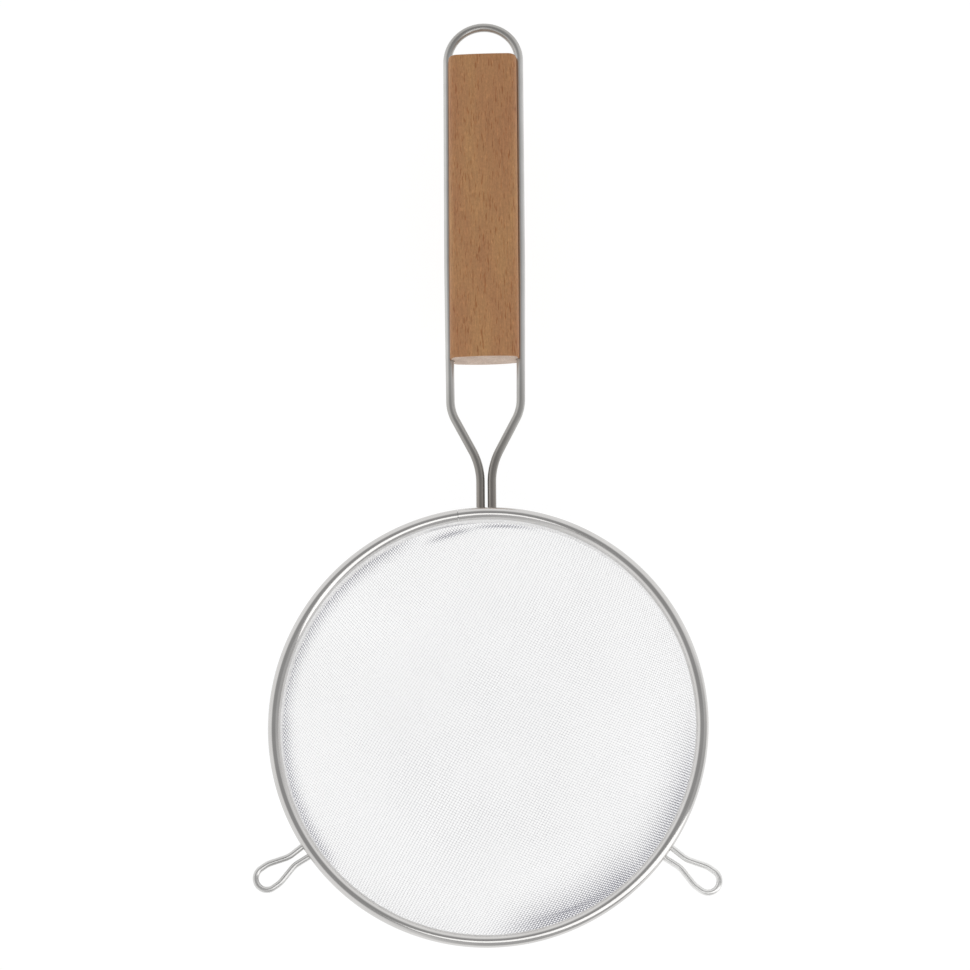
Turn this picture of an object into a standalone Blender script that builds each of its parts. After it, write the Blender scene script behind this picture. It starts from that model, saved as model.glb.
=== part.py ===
"""Round fine-mesh kitchen strainer with a beech grip hung in a bent wire handle.

The rim lies level, +Z points out of the bowl's mouth and the handle points along +Y.
The origin is the middle of the bowl's flat foot. Every size is in metres.
"""
import math

import bmesh
import bpy
from mathutils import Matrix, Vector
from mathutils.geometry import delaunay_2d_cdt

# The rim: one steel strip with a rolled bead on top and two legs that clamp the cloth
RIM_OUTER_RADIUS = 0.100
RIM_HEIGHT = 0.012
BEAD_DIAMETER = 0.0057
STRIP_THICKNESS = 0.0007
SEAM_ANGLE = math.radians(97.5)
SEAM_GAP = 0.0003

# The bowl: wire cloth pressed to a flat foot with arched sides, drawn as a plain grid
CLOTH_THICKNESS = 0.0006
BOWL_DROP = 0.0432
BOWL_FLAT_RADIUS = 0.026
BORDER_BEND_RADIUS = 0.004
SOLID_BORDER = 0.0015
OPENINGS_ACROSS = 12
BAR_SHARE = 0.22
EDGE_SHARE = 0.10
GRID_ANGLE = math.radians(-27)

# The handle: one round wire bent to a hairpin, measured from the rim outwards
HANDLE_WIRE_DIAMETER = 0.004
NECK_BEND_RADIUS = 0.032
SHOULDER_BEND_RADIUS = 0.020
LEG_SPACING = 0.00524
NECK_LENGTH = 0.0207
SHOULDER_ANGLE = math.radians(27.8)
BARE_WIRE_LENGTH = 0.024
LEG_SPREAD = 0.0007
SPREAD_LENGTH = 0.045
LOOP_OPENING = 0.0137

# The grip: a flat crowned beech bar, grooved along both edges for the wire
GRIP_LENGTH = 0.1477
GRIP_WIDTH = 0.0322
GRIP_THICKNESS = 0.0182
GRIP_CROWN = 0.0023
GRIP_EDGE_RADIUS = 0.0035
GRIP_CORNER_WIDTH = 0.0006
GRIP_CORNER_LENGTH = 0.001
GRIP_ARRIS = 0.0006
GROOVE_DEPTH = 0.00135

# The two rests: teardrop wire ears welded under the bead
EAR_WIRE_DIAMETER = 0.0028
EAR_REACH = 0.0278
EAR_ROUND_RADIUS = 0.00515
EAR_SHOULDER_LENGTH = 0.0038
EAR_NECK_WIDTH = 0.0046
EAR_NECK_OFFSET = 0.0078
EAR_ROOT_WIDTH = 0.0058
EAR_BEND_RADIUS = 0.012
LEFT_EAR_FROM_HANDLE = math.radians(124)
RIGHT_EAR_FROM_HANDLE = math.radians(126)

# Air left between pieces that touch, and how finely round shapes are stepped
CLEARANCE = 0.0003
RING_STEPS = 72
BEAD_STEPS = 12
BORDER_BEND_STEPS = 2
WIRE_STEP_ANGLE = math.radians(6)
LOOP_STEPS = 20
EAR_LOOP_STEPS = 14
FILLET_STEPS = 4
CROWN_STEPS = 5
CORNER_STEPS = 3
HANDLE_WIRE_ROUND_STEPS = 4
EAR_WIRE_ROUND_STEPS = 2
SHARP_ANGLE = math.radians(35)
WELD_DISTANCE = 0.000001

# Radii across the rim, from the smooth inner wall outwards
wall_inner_radius = RIM_OUTER_RADIUS - BEAD_DIAMETER
slot_inner_radius = wall_inner_radius + STRIP_THICKNESS
cloth_inner_radius = slot_inner_radius + CLEARANCE
cloth_outer_radius = cloth_inner_radius + CLOTH_THICKNESS
slot_outer_radius = cloth_outer_radius + CLEARANCE
leg_outer_radius = slot_outer_radius + STRIP_THICKNESS
bead_radius = BEAD_DIAMETER / 2
bead_centre_radius = RIM_OUTER_RADIUS - bead_radius

# Heights: the rim stands on the bowl's drop, and the wires lie just under the bead
rim_foot = BOWL_DROP + CLEARANCE
bead_centre_height = RIM_HEIGHT - bead_radius
under_bead = rim_foot + RIM_HEIGHT - BEAD_DIAMETER - CLEARANCE
handle_height = under_bead - HANDLE_WIRE_DIAMETER / 2
ear_height = under_bead - EAR_WIRE_DIAMETER / 2
weld_radius = leg_outer_radius + CLEARANCE

# The side arch meets the foot and the border bend without a kink, which fixes its radius
side_across = cloth_outer_radius - BOWL_FLAT_RADIUS - BORDER_BEND_RADIUS
side_up = BOWL_DROP - BORDER_BEND_RADIUS
side_radius = BORDER_BEND_RADIUS + (side_up * side_up + side_across * side_across) / (2 * side_up)
side_climb = 2 * math.atan2(side_up, side_across)

# How far along the cloth from its middle the side, the border bend and the cloth end
side_run = BOWL_FLAT_RADIUS + side_radius * side_climb
bend_run = side_run + BORDER_BEND_RADIUS * (math.pi / 2 - side_climb)
border_run = bend_run + rim_foot + bead_centre_height - BOWL_DROP
open_run = side_run - SOLID_BORDER
opening_pitch = 2 * open_run / OPENINGS_ACROSS

# Places along the handle, from the rim's middle
hairpin_half = GRIP_WIDTH / 2 - GROOVE_DEPTH + CLEARANCE + HANDLE_WIRE_DIAMETER / 2
shoulder_half = hairpin_half - LEG_SPREAD
leg_half = LEG_SPACING / 2
neck_reach = RIM_OUTER_RADIUS + NECK_LENGTH
shoulder_reach = neck_reach + (shoulder_half - leg_half) / math.tan(SHOULDER_ANGLE)
grip_foot = shoulder_reach + BARE_WIRE_LENGTH
grip_head = grip_foot + GRIP_LENGTH
loop_centre = grip_head + LOOP_OPENING + HANDLE_WIRE_DIAMETER / 2 - hairpin_half


def clear_scene():
    """Take out whatever the scene holds."""
    for old in list(bpy.data.objects):
        bpy.data.objects.remove(old, do_unlink=True)


def finish(name, colour, metallic, roughness):
    """A plain Principled material for one piece."""
    made = bpy.data.materials.new(name)
    made.use_nodes = True
    shader = made.node_tree.nodes["Principled BSDF"]
    shader.inputs["Base Color"].default_value = (*colour, 1.0)
    shader.inputs["Metallic"].default_value = metallic
    shader.inputs["Roughness"].default_value = roughness
    return made


def place(name, data, parent, height=0.0, turn=0.0):
    """Put a piece in the scene at its height and turned about the rim's axis."""
    piece = bpy.data.objects.new(name, data)
    piece.parent = parent
    piece.location.z = height
    piece.rotation_euler.z = turn
    bpy.context.collection.objects.link(piece)
    return piece


def arc(centre, radius, start, end, steps):
    """Points along a round arc, both ends included; angles in radians."""
    points = []
    for step in range(steps + 1):
        angle = start + (end - start) * step / steps
        points.append(Vector((centre[0] + radius * math.cos(angle), centre[1] + radius * math.sin(angle))))
    return points


def turned(name, outline, start, sweep, material):
    """Spin a closed outline of (radius, height) points about the Z axis and fill its two ends."""
    shape = bmesh.new()
    ring = []
    for radius, height in outline:
        ring.append(shape.verts.new((radius * math.cos(start), radius * math.sin(start), height)))
    edges = [shape.edges.new(pair) for pair in zip(ring, ring[1:] + ring[:1])]
    bmesh.ops.spin(
        shape,
        geom=ring + edges,
        cent=(0, 0, 0),
        axis=(0, 0, 1),
        angle=sweep,
        steps=RING_STEPS,
        use_merge=True,
    )
    bmesh.ops.remove_doubles(shape, verts=shape.verts, dist=WELD_DISTANCE)
    bmesh.ops.holes_fill(shape, edges=[edge for edge in shape.edges if edge.is_boundary], sides=0)
    return mesh_from(name, shape, material)


def mesh_from(name, shape, material):
    """Turn a closed bmesh into a smooth-shaded mesh whose faces point out."""
    bmesh.ops.recalc_face_normals(shape, faces=shape.faces)
    mesh = bpy.data.meshes.new(name)
    shape.to_mesh(mesh)
    shape.free()
    mesh.shade_smooth()
    mesh.set_sharp_from_angle(angle=SHARP_ANGLE)
    mesh.materials.append(material)
    return mesh


def bent(corners, bend_radii):
    """A wire's centre line: straight runs between corners, each inner corner a round bend."""
    points = [corners[0]]
    for before, corner, after, bend in zip(corners, corners[1:], corners[2:], bend_radii):
        arriving = (corner - before).normalized()
        leaving = (after - corner).normalized()
        turn = abs(arriving.angle_signed(leaving))
        start = corner - arriving * bend * math.tan(turn / 2)
        side = (leaving - arriving * arriving.dot(leaving)).normalized()
        steps = math.ceil(turn / WIRE_STEP_ANGLE)
        for step in range(steps + 1):
            swung = turn * step / steps
            points.append(start + arriving * bend * math.sin(swung) + side * bend * (1 - math.cos(swung)))
    points.append(corners[-1])
    return points


def mirrored(points):
    """The same run of points on the other side of the Y axis, walked the other way."""
    return [Vector((-point.x, point.y)) for point in reversed(points)]


def wire(name, points, diameter, roundness, material):
    """A round wire swept along flat points, its ends filled; it gets 4 + 2 x roundness sides."""
    curve = bpy.data.curves.new(name, "CURVE")
    curve.dimensions = "3D"
    curve.bevel_depth = diameter / 2
    curve.bevel_resolution = roundness
    curve.use_fill_caps = True
    curve.resolution_u = 1
    curve.render_resolution_u = 0
    spline = curve.splines.new("POLY")
    spline.points.add(len(points) - 1)
    for target, point in zip(spline.points, points):
        target.co = (point.x, point.y, 0.0, 1.0)
    curve.materials.append(material)
    return curve


def rim_outline():
    """The strip's section: smooth inner wall, rolled bead, and the outer leg under it.

    The strip's two faces are both walked: round the outside of the bead first, then back
    through the round hollow inside it, where the cloth's border ends.
    """
    hollow_radius = bead_radius - STRIP_THICKNESS
    centre = (bead_centre_radius, bead_centre_height)
    leg_foot = -math.acos((leg_outer_radius - bead_centre_radius) / bead_radius)
    slot_foot = -math.acos((slot_outer_radius - bead_centre_radius) / hollow_radius)
    outside = arc(centre, bead_radius, math.pi, leg_foot, BEAD_STEPS)
    inside = arc(centre, hollow_radius, slot_foot, math.pi, BEAD_STEPS)
    return (
        [Vector((wall_inner_radius, 0.0))]
        + outside
        + [Vector((leg_outer_radius, 0.0)), Vector((slot_outer_radius, 0.0))]
        + inside
        + [Vector((slot_inner_radius, 0.0))]
    )


def pressed(flat, inset):
    """Where a point of the flat cloth ends up in the bowl, inset from the cloth's lower face.

    Its distance from the middle is spent on the flat foot, then on the side's arch, then on
    the border bend, and what is left stands straight up between the rim's legs.
    """
    run = flat.length
    on_side = min(max(run - BOWL_FLAT_RADIUS, 0.0) / side_radius, side_climb)
    on_bend = min(max(run - side_run, 0.0) / BORDER_BEND_RADIUS, math.pi / 2 - side_climb)
    upright = max(run - bend_run, 0.0)
    slope = on_side + on_bend
    radius = min(run, BOWL_FLAT_RADIUS) + side_radius * math.sin(on_side)
    radius += BORDER_BEND_RADIUS * (math.sin(slope) - math.sin(on_side)) - inset * math.sin(slope)
    height = side_radius * (1 - math.cos(on_side)) + upright + inset * math.cos(slope)
    height += BORDER_BEND_RADIUS * (math.cos(on_side) - math.cos(slope))
    outwards = flat.normalized() * radius
    return Vector((outwards.x, outwards.y, height))


def opening_loop(column, row):
    """One square opening of the flat cloth's grid, with a point halfway along each side."""
    half = opening_pitch * (1 - BAR_SHARE) / 2
    middle = Vector((column + 0.5, row + 0.5)) * opening_pitch
    spots = ((-1, -1), (0, -1), (1, -1), (1, 0), (1, 1), (0, 1), (-1, 1), (-1, 0))
    turn = Matrix.Rotation(GRID_ANGLE, 2)
    return [turn @ (middle + Vector(spot) * half) for spot in spots]


def cloth_plan():
    """The flat cloth as points and triangles, with a grid of openings inside its solid border.

    Rings mark where the border starts, bends and ends. A triangle is left out where it lies
    both in an opening and inside the first ring.
    """
    bend_length = bend_run - side_run
    runs = [open_run, side_run]
    runs += [side_run + bend_length * step / BORDER_BEND_STEPS for step in range(1, BORDER_BEND_STEPS + 1)]
    runs.append(border_run)
    loops = []
    for run in runs:
        loops.append(arc((0.0, 0.0), run, SEAM_ANGLE, SEAM_ANGLE + 2 * math.pi, RING_STEPS)[:-1])
    reach = range(-OPENINGS_ACROSS // 2, OPENINGS_ACROSS // 2)
    for column in reach:
        for row in reach:
            loop = opening_loop(column, row)
            if ((loop[0] + loop[4]) / 2).length < open_run + EDGE_SHARE * opening_pitch:
                loops.append(loop)
    points = []
    faces = []
    for loop in loops:
        faces.append(list(range(len(points), len(points) + len(loop))))
        points += loop
    points, _, triangles, _, _, owners = delaunay_2d_cdt(points, [], faces, 0, WELD_DISTANCE)
    solid = []
    for triangle, owner in zip(triangles, owners):
        if 0 not in owner or max(owner) < len(runs):
            solid.append(triangle)
    return points, solid


def pressed_cloth(material):
    """The cloth as a solid: its plan pressed at both faces, and a wall along every free edge."""
    points, triangles = cloth_plan()
    shape = bmesh.new()
    lower = [shape.verts.new(pressed(point, 0.0)) for point in points]
    upper = [shape.verts.new(pressed(point, CLOTH_THICKNESS)) for point in points]
    sides = set()
    for triangle in triangles:
        shape.faces.new([lower[corner] for corner in reversed(triangle)])
        shape.faces.new([upper[corner] for corner in triangle])
        sides.update(zip(triangle, triangle[1:] + triangle[:1]))
    for start, end in sorted(sides):
        if (end, start) not in sides:
            shape.faces.new((lower[start], lower[end], upper[end], upper[start]))
    loose = [vertex for vertex in shape.verts if not vertex.link_faces]
    bmesh.ops.delete(shape, geom=loose, context="VERTS")
    return mesh_from("mesh_bowl", shape, material)


def handle_path():
    """The hairpin's centre line, from one welded end round the hanging loop to the other."""
    corners = [
        Vector((-leg_half, weld_radius)),
        Vector((-leg_half, neck_reach)),
        Vector((-shoulder_half, shoulder_reach)),
        Vector((-hairpin_half, grip_foot + SPREAD_LENGTH)),
        Vector((-hairpin_half, loop_centre)),
    ]
    left = bent(corners, (NECK_BEND_RADIUS, SHOULDER_BEND_RADIUS, SHOULDER_BEND_RADIUS))
    loop = arc((0.0, loop_centre), hairpin_half, math.pi, 0.0, LOOP_STEPS)
    return left[:-1] + loop + mirrored(left[:-1])


def ear_path():
    """An ear's centre line: its root under the bead, a neck, a shoulder and a round end."""
    round_centre = RIM_OUTER_RADIUS + EAR_REACH - EAR_WIRE_DIAMETER / 2 - EAR_ROUND_RADIUS
    corners = [
        Vector((-EAR_ROOT_WIDTH / 2, weld_radius)),
        Vector((-EAR_NECK_WIDTH / 2, RIM_OUTER_RADIUS + EAR_NECK_OFFSET)),
        Vector((-EAR_ROUND_RADIUS, round_centre - EAR_SHOULDER_LENGTH)),
        Vector((-EAR_ROUND_RADIUS, round_centre)),
    ]
    left = bent(corners, (EAR_BEND_RADIUS, EAR_BEND_RADIUS))
    round_end = arc((0.0, round_centre), EAR_ROUND_RADIUS, math.pi, 0.0, EAR_LOOP_STEPS)
    return left[:-1] + round_end + mirrored(left[:-1])


def grip_section(side_inset, face_inset):
    """The grip's section: crowned faces, rounded edges; the insets draw it in at the ends."""
    half_width = GRIP_WIDTH / 2 - side_inset
    half_height = GRIP_THICKNESS / 2 - face_inset
    crown_radius = (half_width * half_width + GRIP_CROWN * GRIP_CROWN) / (2 * GRIP_CROWN)
    fillet = min(GRIP_EDGE_RADIUS, half_height - GRIP_CROWN)
    across = half_width - fillet
    crown_centre = half_height - crown_radius
    fillet_height = crown_centre + math.sqrt((crown_radius - fillet) ** 2 - across * across)
    tangent = math.atan2(fillet_height - crown_centre, across)
    edge = arc((across, fillet_height), fillet, 0.0, tangent, FILLET_STEPS)
    face = arc((0.0, crown_centre), crown_radius, tangent, math.pi / 2, CROWN_STEPS)
    quarter = edge + face[1:]
    upper = quarter + [Vector((-point.x, point.y)) for point in reversed(quarter[:-1])]
    return upper + [Vector((-point.x, -point.y)) for point in upper]


def grip_stations():
    """Where the grip's sections stand, with how far each is drawn in: (reach, side, face)."""
    end = []
    for step in range(CORNER_STEPS + 1):
        swung = math.pi / 2 * step / CORNER_STEPS
        back = GRIP_CORNER_LENGTH * (1 - math.sin(swung))
        side = GRIP_CORNER_WIDTH * (1 - math.cos(swung))
        near = max(0.0, 1 - back / GRIP_ARRIS)
        face = GRIP_ARRIS * (1 - math.sqrt(1 - near * near))
        end.append((back, side, face))
    foot = [(grip_foot + back, side, face) for back, side, face in reversed(end)]
    head = [(grip_head - back, side, face) for back, side, face in end]
    return foot + head


def grip_blank(material):
    """The bar before grooving: sections lofted along Y, with flat end grain at both ends."""
    shape = bmesh.new()
    rings = []
    for reach, side, face in grip_stations():
        section = grip_section(side, face)
        rings.append([shape.verts.new((point.x, reach, point.y)) for point in section])
    for near, far in zip(rings, rings[1:]):
        for index in range(len(near)):
            following = (index + 1) % len(near)
            shape.faces.new((near[index], near[following], far[following], far[index]))
    shape.faces.new(rings[0])
    shape.faces.new(rings[-1])
    return mesh_from("grip", shape, material)


def groove_cutter(parent, material):
    """The room that the handle wire takes in the grip, as a hidden solid on the wire's path."""
    room = HANDLE_WIRE_DIAMETER + 2 * CLEARANCE
    swept = wire("groove_template", handle_path(), room, HANDLE_WIRE_ROUND_STEPS, material)
    template = place("groove_template", swept, parent)
    graph = bpy.context.evaluated_depsgraph_get()
    shape = bmesh.new()
    shape.from_mesh(bpy.data.meshes.new_from_object(template.evaluated_get(graph)))
    bmesh.ops.remove_doubles(shape, verts=shape.verts, dist=WELD_DISTANCE)
    bpy.data.objects.remove(template, do_unlink=True)
    cutter = place("groove_cutter", mesh_from("groove_cutter", shape, material), parent, handle_height)
    cutter.hide_render = True
    cutter.display_type = "WIRE"
    return cutter


def build():
    """Make every piece of the strainer under one empty."""
    clear_scene()
    strainer = place("strainer", None, None)

    hoop_steel = finish("rim_hoop_steel", (0.62, 0.61, 0.60), 1.0, 0.18)
    cloth_steel = finish("mesh_bowl_steel", (0.78, 0.78, 0.78), 1.0, 0.35)
    handle_steel = finish("handle_wire_steel", (0.58, 0.57, 0.55), 1.0, 0.25)
    ear_steel = finish("ear_wire_steel", (0.58, 0.57, 0.56), 1.0, 0.25)
    beech = finish("grip_beech", (0.36, 0.19, 0.09), 0.0, 0.6)

    sweep = 2 * math.pi - SEAM_GAP / RIM_OUTER_RADIUS
    place("rim_hoop", turned("rim_hoop", rim_outline(), SEAM_ANGLE, sweep, hoop_steel), strainer, rim_foot)

    place("mesh_bowl", pressed_cloth(cloth_steel), strainer)

    route = handle_path()
    handle = wire("handle_wire", route, HANDLE_WIRE_DIAMETER, HANDLE_WIRE_ROUND_STEPS, handle_steel)
    place("handle_wire", handle, strainer, handle_height)

    grip = place("grip", grip_blank(beech), strainer, handle_height)
    grooves = grip.modifiers.new("grooves", "BOOLEAN")
    grooves.operation = "DIFFERENCE"
    grooves.object = groove_cutter(strainer, beech)

    ear = wire("ear", ear_path(), EAR_WIRE_DIAMETER, EAR_WIRE_ROUND_STEPS, ear_steel)
    place("ear_left", ear, strainer, ear_height, LEFT_EAR_FROM_HANDLE)
    place("ear_right", ear, strainer, ear_height, -RIGHT_EAR_FROM_HANDLE)


build()
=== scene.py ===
"""A round fine-mesh kitchen strainer with a beech grip held in a bent wire handle.

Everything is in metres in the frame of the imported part: +Z up out of the bowl's mouth,
+Y along the handle, the origin under the middle of the bowl's foot.
"""
import math

import bpy
import numpy as np
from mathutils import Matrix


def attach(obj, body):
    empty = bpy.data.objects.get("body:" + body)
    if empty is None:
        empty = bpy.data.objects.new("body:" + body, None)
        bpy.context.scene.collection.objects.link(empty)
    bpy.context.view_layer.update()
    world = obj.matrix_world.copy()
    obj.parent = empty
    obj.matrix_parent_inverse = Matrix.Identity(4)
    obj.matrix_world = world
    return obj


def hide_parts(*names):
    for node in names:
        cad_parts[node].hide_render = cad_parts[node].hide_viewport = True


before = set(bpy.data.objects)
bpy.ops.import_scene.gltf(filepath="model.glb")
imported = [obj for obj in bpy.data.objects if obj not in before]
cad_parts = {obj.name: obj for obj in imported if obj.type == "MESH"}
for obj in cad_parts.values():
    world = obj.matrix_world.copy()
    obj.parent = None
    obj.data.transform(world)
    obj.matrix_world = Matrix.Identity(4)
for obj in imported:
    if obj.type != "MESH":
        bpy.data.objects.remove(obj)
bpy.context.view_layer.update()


# The studio: a white table under a white tent, open overhead and at the lower right, so
# that dark patches show in everything polished, with a long soft lamp across the lower
# opening. From below, the table can be looked through.
TABLE_SIZE = 6.0
TABLE_GLOW = 0.88
TABLE_PAINT = (0.18, 0.18, 0.18, 1.0)
TENT_WHITE = 1.0
TOP_OPENING = 0.38
TOP_EDGE = (0.60, 0.93)
SIDE_OPENING = 0.52
SIDE_EDGE = (0.22, 0.76)
SIDE_TOWARD = (0.64, -0.64, 0.42)
LAMP_WHITE = 1.16
LAMP_SIZE = (2.9, 0.62)
LAMP_PLACE = (0.812, -0.694, 0.824)
LAMP_TURN = (0.282, 0.607, -0.281)
CAMERA_SENSOR = 36.0
CAMERA_LENS = 106.0
CAMERA_RANGE = (0.05, 20.0)
CAMERA_PLACE = (0.09289, -0.14933, 1.33782)
CAMERA_TURN = (0.19892, 0.07229, -0.0072)


def put_in_scene(name, data):
    """A new object of the given data, linked into the scene."""
    made = bpy.data.objects.new(name, data)
    bpy.context.scene.collection.objects.link(made)
    return made


def remap(nodes, reads, gives):
    """A node that brings values between the two in reads to those between the two in gives."""
    made = nodes.new("ShaderNodeMapRange")
    ends = ("From Min", "From Max", "To Min", "To Max")
    for end, value in zip(ends, (*reads, *gives)):
        made.inputs[end].default_value = value
    return made


table_mesh = bpy.data.meshes.new("table")
half = TABLE_SIZE / 2
table_corners = [(-half, -half, 0.0), (half, -half, 0.0), (half, half, 0.0), (-half, half, 0.0)]
table_mesh.from_pydata(table_corners, [], [(0, 1, 2, 3)])
table = put_in_scene("table", table_mesh)

table_paint = bpy.data.materials.new("table_white")
table_paint.use_nodes = True
nodes, links = table_paint.node_tree.nodes, table_paint.node_tree.links
nodes.clear()
paint = nodes.new("ShaderNodeBsdfDiffuse")
paint.inputs["Color"].default_value = TABLE_PAINT
glow = nodes.new("ShaderNodeEmission")
glow.inputs["Strength"].default_value = TABLE_GLOW
both = nodes.new("ShaderNodeAddShader")
face = nodes.new("ShaderNodeNewGeometry")
clear = nodes.new("ShaderNodeBsdfTransparent")
one_way = nodes.new("ShaderNodeMixShader")
out = nodes.new("ShaderNodeOutputMaterial")
links.new(paint.outputs[0], both.inputs[0])
links.new(glow.outputs[0], both.inputs[1])
links.new(face.outputs["Backfacing"], one_way.inputs["Fac"])
links.new(both.outputs[0], one_way.inputs[1])
links.new(clear.outputs[0], one_way.inputs[2])
links.new(one_way.outputs[0], out.inputs["Surface"])
table_mesh.materials.append(table_paint)

tent = bpy.data.worlds.new("tent")
bpy.context.scene.world = tent
tent.use_nodes = True
nodes, links = tent.node_tree.nodes, tent.node_tree.links
nodes.clear()
direction = nodes.new("ShaderNodeTexCoord")
height = nodes.new("ShaderNodeSeparateXYZ")
aside = nodes.new("ShaderNodeVectorMath")
aside.operation = "DOT_PRODUCT"
aside.inputs[1].default_value = SIDE_TOWARD
darker = nodes.new("ShaderNodeMath")
darker.operation = "MINIMUM"
openings = []
for edge, shade in ((TOP_EDGE, TOP_OPENING), (SIDE_EDGE, SIDE_OPENING)):
    opening = remap(nodes, edge, (TENT_WHITE, shade))
    opening.interpolation_type = "SMOOTHSTEP"
    openings.append(opening)
top_opening, side_opening = openings
lit = nodes.new("ShaderNodeBackground")
white = nodes.new("ShaderNodeBackground")
white.inputs["Color"].default_value = (1.0, 1.0, 1.0, 1.0)
ray = nodes.new("ShaderNodeLightPath")
seen = nodes.new("ShaderNodeMixShader")
out = nodes.new("ShaderNodeOutputWorld")
links.new(direction.outputs["Generated"], height.inputs[0])
links.new(direction.outputs["Generated"], aside.inputs[0])
links.new(height.outputs["Z"], top_opening.inputs["Value"])
links.new(aside.outputs["Value"], side_opening.inputs["Value"])
links.new(top_opening.outputs[0], darker.inputs[0])
links.new(side_opening.outputs[0], darker.inputs[1])
links.new(darker.outputs[0], lit.inputs["Color"])
links.new(ray.outputs["Is Camera Ray"], seen.inputs["Fac"])
links.new(lit.outputs[0], seen.inputs[1])
links.new(white.outputs[0], seen.inputs[2])
links.new(seen.outputs[0], out.inputs["Surface"])

lamp_data = bpy.data.lights.new("soft_lamp", "AREA")
lamp_data.shape = "RECTANGLE"
lamp_data.size, lamp_data.size_y = LAMP_SIZE
lamp_data.energy = LAMP_WHITE * math.pi * LAMP_SIZE[0] * LAMP_SIZE[1]
lamp = put_in_scene("soft_lamp", lamp_data)
lamp.location = LAMP_PLACE
lamp.rotation_euler = LAMP_TURN
lamp.visible_camera = False

camera_data = bpy.data.cameras.new("camera")
camera_data.sensor_width = CAMERA_SENSOR
camera_data.lens = CAMERA_LENS
camera_data.clip_start, camera_data.clip_end = CAMERA_RANGE
camera = put_in_scene("camera", camera_data)
camera.rotation_mode = "ZXY"
camera.location = CAMERA_PLACE
camera.rotation_euler = CAMERA_TURN
bpy.context.scene.camera = camera

bpy.context.scene.view_settings.view_transform = "Standard"


# The rim: one strip of stainless steel, 0.7 mm thick, roll-formed to a round hollow bead
# with two legs under it, bent to a hoop and butted beside the handle. The legs grip the
# border of the cloth. Rolling leaves faint lines along the strip.
RIM_RADIUS = 0.100
RIM_FOOT = 0.0435
RIM_HEIGHT = 0.012
BEAD_RADIUS = 0.00285
STRIP = 0.0007
SLOT = 0.0012
SEAM = math.radians(97.5)
SEAM_GAP = 0.0002
RIM_STATIONS = 360
BEAD_POINTS = 40
RIM_UV = (0.628, 0.030)
SHARP = math.radians(40)
RIM_COLOURS = ((0.87, 0.86, 0.85), (0.95, 0.94, 0.93))
RIM_ROUGHNESS = (0.08, 0.16)
# Painted light: the strip keeps its full colour up to 0.66 of the rim's height and is dimmed to
# about 0.7 of it above 0.80, so the legs look more lit than the top of the bead
RIM_PAINTED_LIGHT = ((0.66, (1.0, 1.0, 1.0)), (0.80, (0.705, 0.70, 0.695)))
# A steel's finish: the scale of the noise in its relief, the relief's depth, and how far
# that scale is stretched along and across
ROLLED = (900.0, 0.00003, (0.06, 1.0, 1.0))
STEEL_CLOUDS = 60.0
STEEL_RELIEF = 0.3
CLOUD_SHARES = (0.3, 0.7)


def ring_piece(name, rings, uv_size):
    """A skin over rings of points, an array [ring, place on the ring, xyz].

    Each ring joins the next with four-sided faces, the ring's last place joins its first,
    and a flat face fills the first and the last ring. The UV map runs uv_size[0] along the
    rings and uv_size[1] round them.
    """
    last, around = len(rings) - 1, rings.shape[1]
    ring, place = np.meshgrid(np.arange(last), np.arange(around), indexing="ij")
    here, ahead, beside = ring * around, (ring + 1) * around, (place + 1) % around
    quads = np.stack([here + place, here + beside, ahead + beside, ahead + place], -1)
    faces = quads.reshape(-1, 4).tolist()
    faces.append(list(range(around))[::-1])
    faces.append(list(range(last * around, (last + 1) * around)))
    along = np.stack([ring, ring, ring + 1, ring + 1], -1) / last * uv_size[0]
    across = np.stack([place, place + 1, place + 1, place], -1) / around * uv_size[1]
    uv_sides = np.stack([along, across], -1).reshape(-1, 2)
    uv_ends = np.tile(np.arange(around)[:, None] / around, (2, 2))
    uv = np.concatenate([uv_sides, uv_ends])
    mesh = bpy.data.meshes.new(name)
    mesh.from_pydata(rings.reshape(-1, 3).tolist(), [], faces)
    layer = mesh.uv_layers.new(name="UVMap")
    layer.data.foreach_set("uv", uv.ravel())
    mesh.shade_smooth()
    mesh.set_sharp_from_angle(angle=SHARP)
    return put_in_scene(name, mesh)


def circle_part(centre, radius, start, end, count):
    """Points on a circle's arc: centre plus radius times (cos, sin) of evenly spaced angles."""
    angle = np.linspace(start, end, count)
    return np.array(centre) + radius * np.stack([np.cos(angle), np.sin(angle)], -1)


def strip_section():
    """(radius, height) round the strip's section: out over the bead, back through its hollow."""
    bead = (RIM_RADIUS - BEAD_RADIUS, RIM_FOOT + RIM_HEIGHT - BEAD_RADIUS)
    inner = RIM_RADIUS - 2 * BEAD_RADIUS
    outer = inner + SLOT + 2 * STRIP
    hollow = BEAD_RADIUS - STRIP
    outer_turn = -math.acos((outer - bead[0]) / BEAD_RADIUS)
    inner_turn = -math.acos((outer - STRIP - bead[0]) / hollow)
    over = circle_part(bead, BEAD_RADIUS, math.pi, outer_turn, BEAD_POINTS)
    back = circle_part(bead, hollow, inner_turn, math.pi, BEAD_POINTS // 2)
    foot = np.array([(outer, RIM_FOOT), (outer - STRIP, RIM_FOOT)])
    toe = np.array([(inner + STRIP, RIM_FOOT), (inner, RIM_FOOT)])
    return np.concatenate([over, foot, back, toe])


def two_tone(nodes, shares, colours):
    """A ramp node from one colour to another between two shares of the way."""
    ramp = nodes.new("ShaderNodeValToRGB")
    for stop, share, colour in zip(ramp.color_ramp.elements, shares, colours):
        stop.position = share
        stop.color = (*colour, 1.0)
    return ramp


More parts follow.
